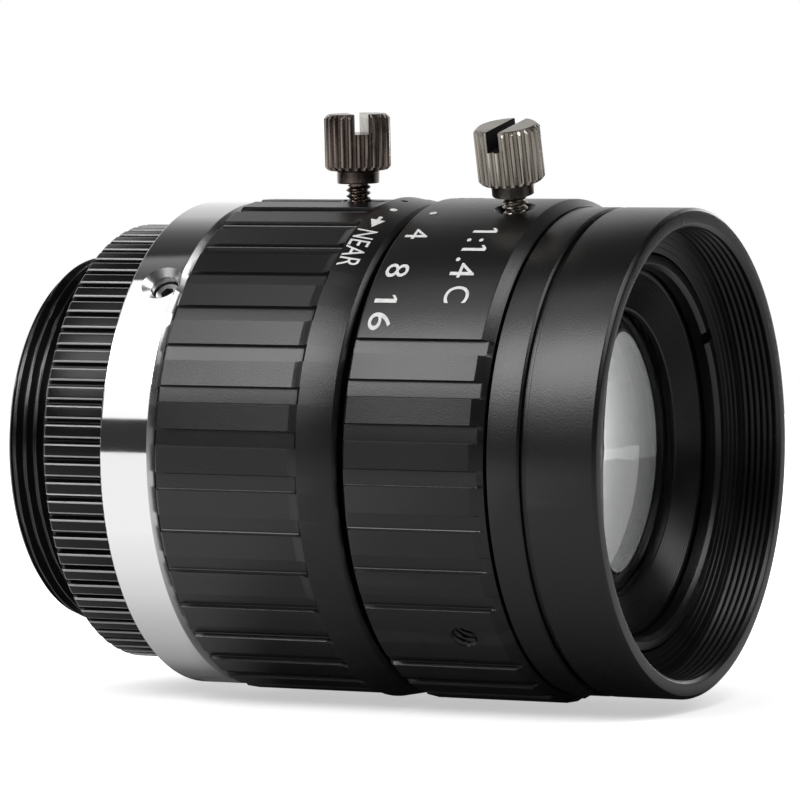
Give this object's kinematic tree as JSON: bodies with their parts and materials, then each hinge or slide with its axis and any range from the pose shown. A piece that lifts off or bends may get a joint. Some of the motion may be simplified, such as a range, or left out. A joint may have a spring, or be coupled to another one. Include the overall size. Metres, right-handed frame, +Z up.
{
  "type": "telephoto lens",
  "caption": "Manual camera lens with a threaded mount, ridged focus and iris rings with thumb lock screws, a working bladed iris and a deep front rim.",
  "frame": {"origin": "on the optical axis, at the rear face of the knurled ring, which seats on a camera's flange", "axes": "+X along the optical axis towards the subject, +Z up, with the two lock screws at the top"},
  "size_m": [0.0455, 0.034, 0.0398],
  "materials": {
    "black_anodised": "fine satin black anodising",
    "polished_ring": "bright polished plating",
    "steel_parts": "nickel-plated, satin",
    "dark_nickel": "dark nickel, glossy",
    "inner_black": "dull black",
    "iris_black": "dull blackened steel",
    "optical_glass": "polished and coated"
  },
  "bodies": {
    "mount": {"mount_adapter": "black_anodised", "mount_ring": "polished_ring", "mount_grub_screw_1": "steel_parts", "mount_grub_screw_2": "steel_parts", "mount_grub_screw_3": "steel_parts", "fixed_barrel": "inner_black", "guide_key": "steel_parts", "snap_ring": "steel_parts"},
    "focus": {"focus_ring": "black_anodised", "focus_stop_screw": "steel_parts"},
    "focus_lock": {"focus_lock_screw": "dark_nickel"},
    "optics": {"optics_sleeve": "inner_black", "front_barrel": "black_anodised", "front_retainer": "black_anodised", "baffle_ring": "inner_black", "front_cell": "inner_black", "front_element": "optical_glass", "front_spacer": "inner_black", "second_element": "optical_glass", "third_element": "optical_glass", "iris_base": "iris_black", "rear_cell": "inner_black", "doublet_front_element": "optical_glass", "doublet_rear_element": "optical_glass", "doublet_spacer": "inner_black", "sixth_element": "optical_glass", "rear_spacer": "inner_black", "rear_element": "optical_glass", "rear_retainer": "inner_black"},
    "iris": {"iris_ring": "black_anodised", "iris_cam_ring": "iris_black", "iris_drive_pin": "steel_parts"},
    "iris_lock": {"iris_lock_screw": "steel_parts"},
    "blade_1": {"iris_blade_1": "iris_black"},
    "blade_2": {"iris_blade_2": "iris_black"},
    "blade_3": {"iris_blade_3": "iris_black"},
    "blade_4": {"iris_blade_4": "iris_black"},
    "blade_5": {"iris_blade_5": "iris_black"},
    "blade_6": {"iris_blade_6": "iris_black"}
  },
  "joints": [
    {"name": "focus_turn", "type": "hinge", "parent": "mount", "child": "focus", "pos_m": [0.016, 0, 0], "axis": [1, 0, 0], "range_deg": [-15, 135]},
    {"name": "optics_slide", "type": "slide", "parent": "mount", "child": "optics", "axis": [1, 0, 0], "range_m": [-0.00022, 0.00202]},
    {"name": "iris_turn", "type": "hinge", "parent": "optics", "child": "iris", "pos_m": [0.028, 0, 0], "axis": [1, 0, 0], "range_deg": [-48, 0]},
    {"name": "blade_1_turn", "type": "hinge", "parent": "optics", "child": "blade_1", "pos_m": [0.02368, -0.00219, 0.01241], "axis": [1, 0, 0], "range_deg": [0, 30]},
    {"name": "blade_2_turn", "type": "hinge", "parent": "optics", "child": "blade_2", "pos_m": [0.0239, -0.01184, 0.00431], "axis": [1, 0, 0], "range_deg": [0, 30]},
    {"name": "blade_3_turn", "type": "hinge", "parent": "optics", "child": "blade_3", "pos_m": [0.02412, -0.00965, -0.0081], "axis": [1, 0, 0], "range_deg": [0, 30]},
    {"name": "blade_4_turn", "type": "hinge", "parent": "optics", "child": "blade_4", "pos_m": [0.02434, 0.00219, -0.01241], "axis": [1, 0, 0], "range_deg": [0, 30]},
    {"name": "blade_5_turn", "type": "hinge", "parent": "optics", "child": "blade_5", "pos_m": [0.02456, 0.01184, -0.00431], "axis": [1, 0, 0], "range_deg": [0, 30]},
    {"name": "blade_6_turn", "type": "hinge", "parent": "optics", "child": "blade_6", "pos_m": [0.02478, 0.00965, 0.0081], "axis": [1, 0, 0], "range_deg": [0, 30]},
    {"name": "focus_lock_turn", "type": "hinge", "parent": "focus", "child": "focus_lock", "pos_m": [0.01688, -0.00083, 0.01703], "axis": [0, -0.0488, 0.9988], "range_deg": [0, 360]},
    {"name": "iris_lock_turn", "type": "hinge", "parent": "iris", "child": "iris_lock", "pos_m": [0.03028, -0.00439, 0.0164], "axis": [0, -0.2588, 0.9659], "range_deg": [0, 360]}
  ],
  "couplings": [
    {"joint": "focus_turn", "follows": "optics_slide", "rad_per_m": 1163.6},
    {"joint": "blade_1_turn", "follows": "iris_turn", "ratio": -0.625},
    {"joint": "blade_2_turn", "follows": "iris_turn", "ratio": -0.625},
    {"joint": "blade_3_turn", "follows": "iris_turn", "ratio": -0.625},
    {"joint": "blade_4_turn", "follows": "iris_turn", "ratio": -0.625},
    {"joint": "blade_5_turn", "follows": "iris_turn", "ratio": -0.625},
    {"joint": "blade_6_turn", "follows": "iris_turn", "ratio": -0.625}
  ]
}
